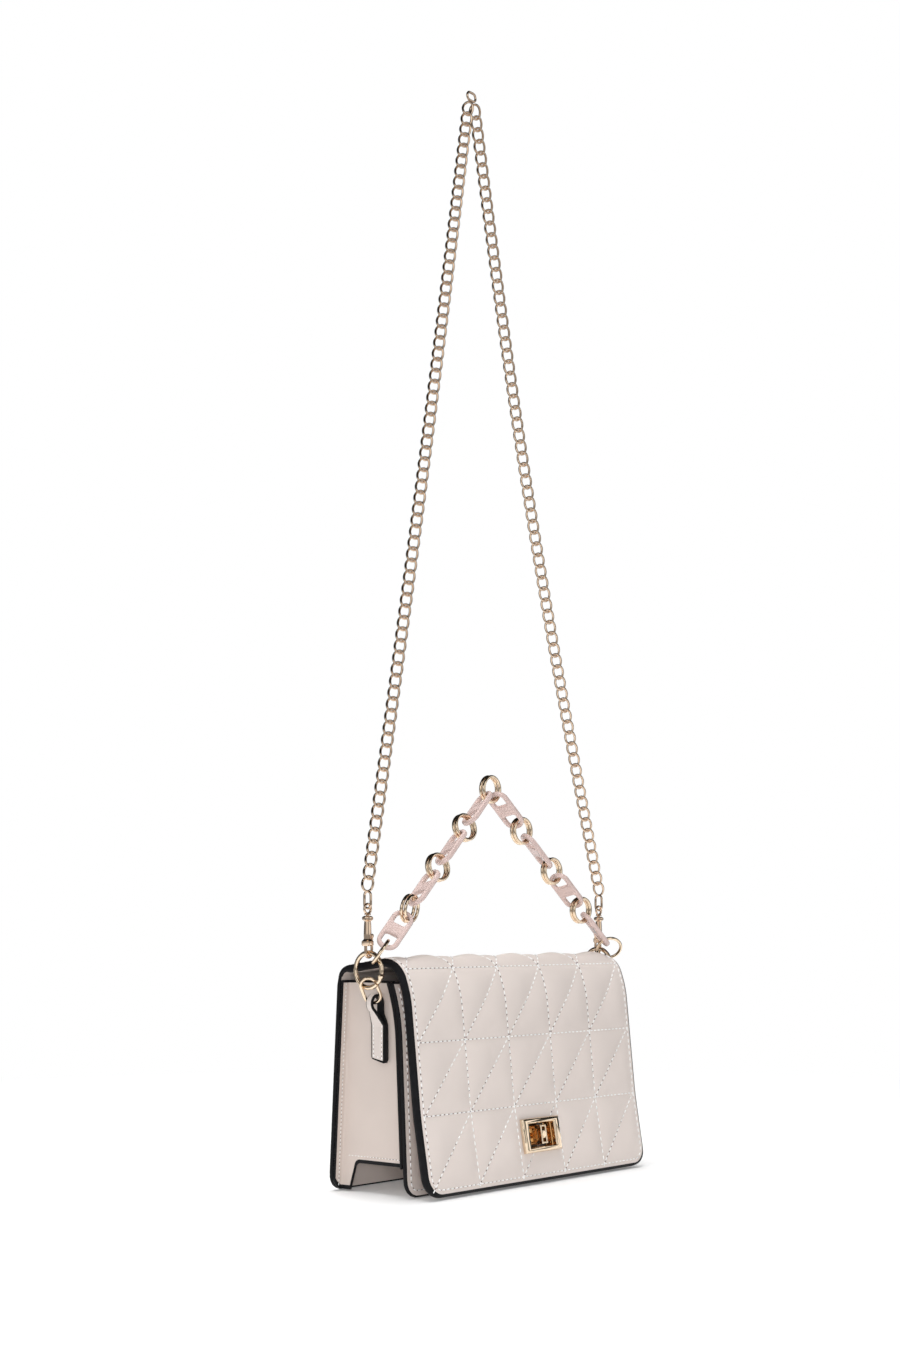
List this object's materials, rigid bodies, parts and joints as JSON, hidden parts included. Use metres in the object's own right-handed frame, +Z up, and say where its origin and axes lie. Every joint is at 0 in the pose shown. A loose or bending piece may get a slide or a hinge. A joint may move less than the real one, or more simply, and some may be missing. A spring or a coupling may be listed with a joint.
{
  "type": "crossbody bag",
  "caption": "Boxy quilted crossbody bag with a front flap, turn lock, short resin-link top handle and long metal chain strap.",
  "frame": {"origin": "on the surface the bag stands on, under the middle of the whole object", "axes": "+Z up, the flap and its turn lock face -Y, +X to the right when looking at the flap"},
  "size_m": [0.2556, 0.083, 0.7176],
  "materials": {
    "leather": "smooth matt blush, black painted edges",
    "leather_shade": "smooth matt blush, a shade darker",
    "board": "stiffening board",
    "lining": "dark woven lining",
    "gold": "polished light gold plating",
    "resin": "glossy blush resin"
  },
  "bodies": {
    "bag": {"back_panel": "leather", "front_panel": "leather", "flap_top": "leather", "gusset_left": "leather_shade", "gusset_right": "leather_shade", "bottom_panel": "leather_shade", "front_board": "board", "back_board": "board", "bottom_board": "board", "lining": "lining", "lock_base": "gold", "lock_washer": "gold", "tab_left": "leather", "tab_right": "leather", "oval_ring_left": "gold", "oval_ring_right": "gold", "snap_ring_left": "gold", "snap_ring_right": "gold"},
    "flap": {"flap_front": "leather", "flap_lining": "leather_shade", "lock_frame": "gold", "lock_backing": "gold"},
    "knob": {"lock_knob": "gold"},
    "strap": {"chain_left": "gold", "chain_right": "gold", "end_link_left": "gold", "end_link_right": "gold", "top_link": "gold", "swivel_eye_left": "gold", "swivel_eye_right": "gold"},
    "clasp_left": {"clasp_left": "gold"},
    "clasp_right": {"clasp_right": "gold"},
    "bolt_left": {"clasp_bolt_left": "gold"},
    "bolt_right": {"clasp_bolt_right": "gold"},
    "gate_left": {"ring_gate_left": "gold"},
    "gate_right": {"ring_gate_right": "gold"},
    "handle": {"handle_end_ring_left": "gold", "handle_end_ring_right": "gold", "handle_ring_1a": "gold", "handle_ring_1b": "gold", "handle_ring_2a": "gold", "handle_ring_2b": "gold", "handle_ring_3a": "gold", "handle_ring_3b": "gold", "handle_ring_4a": "gold", "handle_ring_4b": "gold", "handle_ring_5a": "gold", "handle_ring_5b": "gold", "handle_ring_6a": "gold", "handle_ring_6b": "gold", "handle_ring_7a": "gold", "handle_ring_7b": "gold", "handle_link_1": "resin", "handle_link_2": "resin", "handle_link_3": "resin", "handle_link_4": "resin", "handle_link_5": "resin", "handle_link_6": "resin", "handle_link_7": "resin", "handle_link_8": "resin"}
  },
  "joints": [
    {"name": "flap_lift", "type": "hinge", "parent": "bag", "child": "flap", "pos_m": [0, -0.01379, 0.14351], "axis": [-1, 0, 0], "range_deg": [0, 65]},
    {"name": "knob_turn", "type": "hinge", "parent": "bag", "child": "knob", "pos_m": [0, -0.03652, 0.0307], "axis": [0, -0.9857, 0.1682], "range_deg": [0, 90]},
    {"name": "strap_swing", "type": "hinge", "parent": "bag", "child": "strap", "pos_m": [0, 0.003, 0.1382], "axis": [-1, 0, 0], "range_deg": [0, 80]},
    {"name": "handle_swing", "type": "hinge", "parent": "bag", "child": "handle", "pos_m": [0, -0.00388, 0.1464], "axis": [1, 0, 0], "range_deg": [-4, 30]},
    {"name": "clasp_turn_left", "type": "hinge", "parent": "strap", "child": "clasp_left", "pos_m": [-0.121, 0.003, 0.17015], "axis": [0, 0, 1], "range_deg": [-15, 15]},
    {"name": "clasp_turn_right", "type": "hinge", "parent": "strap", "child": "clasp_right", "pos_m": [0.121, 0.003, 0.17015], "axis": [0, 0, 1], "range_deg": [-15, 15]},
    {"name": "bolt_slide_left", "type": "slide", "parent": "clasp_left", "child": "bolt_left", "axis": [0, 0, 1], "range_m": [0, 0.003], "stiffness_N_per_m": 150, "springref_m": -0.002},
    {"name": "bolt_slide_right", "type": "slide", "parent": "clasp_right", "child": "bolt_right", "axis": [0, 0, 1], "range_m": [0, 0.003], "stiffness_N_per_m": 150, "springref_m": -0.002},
    {"name": "gate_open_left", "type": "hinge", "parent": "bag", "child": "gate_left", "pos_m": [-0.12, -0.00723, 0.13507], "axis": [1, 0, 0], "range_deg": [0, 25], "stiffness_Nm_per_rad": 0.01, "springref_deg": -17.19},
    {"name": "gate_open_right", "type": "hinge", "parent": "bag", "child": "gate_right", "pos_m": [0.12, -0.00723, 0.13507], "axis": [1, 0, 0], "range_deg": [0, 25], "stiffness_Nm_per_rad": 0.01, "springref_deg": -17.19}
  ]
}
